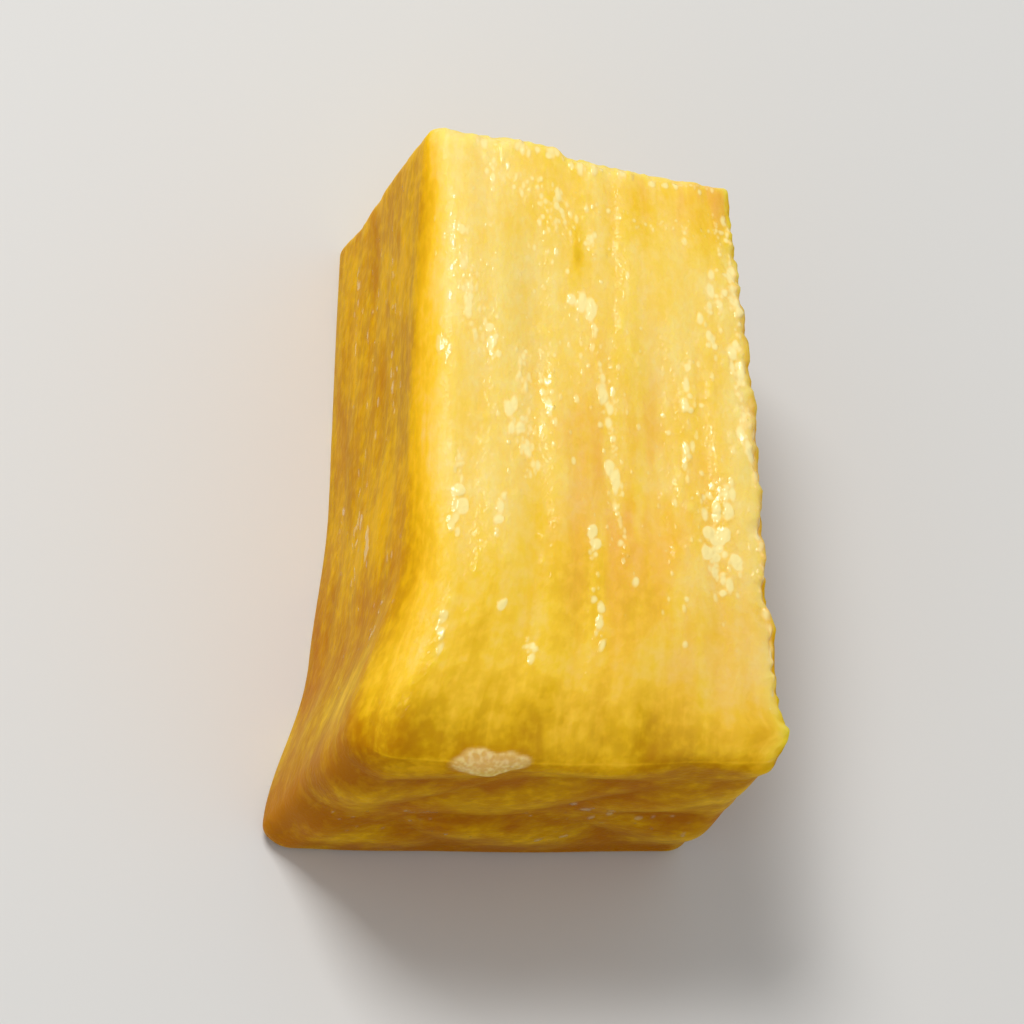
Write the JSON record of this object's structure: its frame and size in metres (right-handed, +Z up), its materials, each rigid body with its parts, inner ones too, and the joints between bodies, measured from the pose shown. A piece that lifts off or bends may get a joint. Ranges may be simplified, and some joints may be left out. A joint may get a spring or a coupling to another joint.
{
  "type": "pineapple chunk",
  "caption": "Wet chunk of fresh pineapple flesh, a slightly tapered block with fibrous cut faces, a flared outer end and a crisp core end.",
  "frame": {"origin": "middle of the chunk's box, on the flat underside", "axes": "+X across the fibres, +Y along the fibres from the trimmed outer end to the core end, +Z up, out of the shown cut face"},
  "size_m": [0.027, 0.04, 0.0197],
  "materials": {
    "pineapple_flesh": "juicy fruit flesh, soft and slightly translucent, cream to golden yellow streaks along the fibres, wet with juice"
  },
  "bodies": {
    "root": {"pineapple_chunk": "pineapple_flesh"}
  },
  "joints": []
}
